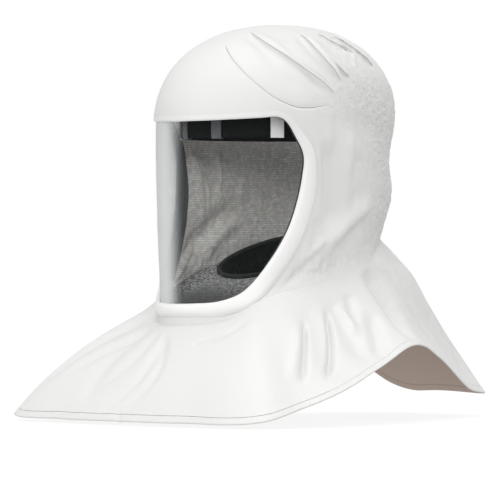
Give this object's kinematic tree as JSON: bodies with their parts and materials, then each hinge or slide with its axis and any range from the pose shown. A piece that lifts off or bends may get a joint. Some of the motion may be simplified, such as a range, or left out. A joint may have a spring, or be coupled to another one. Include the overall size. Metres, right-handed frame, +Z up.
{
  "type": "chemical-resistant respirator hood",
  "caption": "Sewn white protective hood with a wide clear visor, gathered back, shoulder bib, headband, and an inner collar with a knitted neck cuff.",
  "frame": {"origin": "centre of the wearer's head at headband height, where the headband seats the hood", "axes": "-Y is where the face looks, +X is the wearer's left side, +Z is up"},
  "size_m": [0.419, 0.5095, 0.4263],
  "materials": {
    "hood_cloth": "coated non-woven cloth, soft satin",
    "visor_film": "clear pressed film, glossy",
    "seal_tape": "dark cloth-backed tape",
    "collar_cloth": "woven grey lining cloth",
    "cuff_knit": "ribbed knit",
    "band_foam": "foam under black mesh",
    "tab_webbing": "flat woven tape"
  },
  "bodies": {
    "root": {"front_panel": "hood_cloth", "crown_panel": "hood_cloth", "back_panel": "hood_cloth", "visor_border": "hood_cloth", "visor_lens": "visor_film", "lens_seal_tape": "seal_tape", "bib": "hood_cloth", "bib_hem": "hood_cloth", "inner_collar": "collar_cloth", "neck_cuff": "cuff_knit", "headband": "band_foam", "headband_tab_left": "tab_webbing", "headband_tab_right": "tab_webbing"}
  },
  "joints": []
}
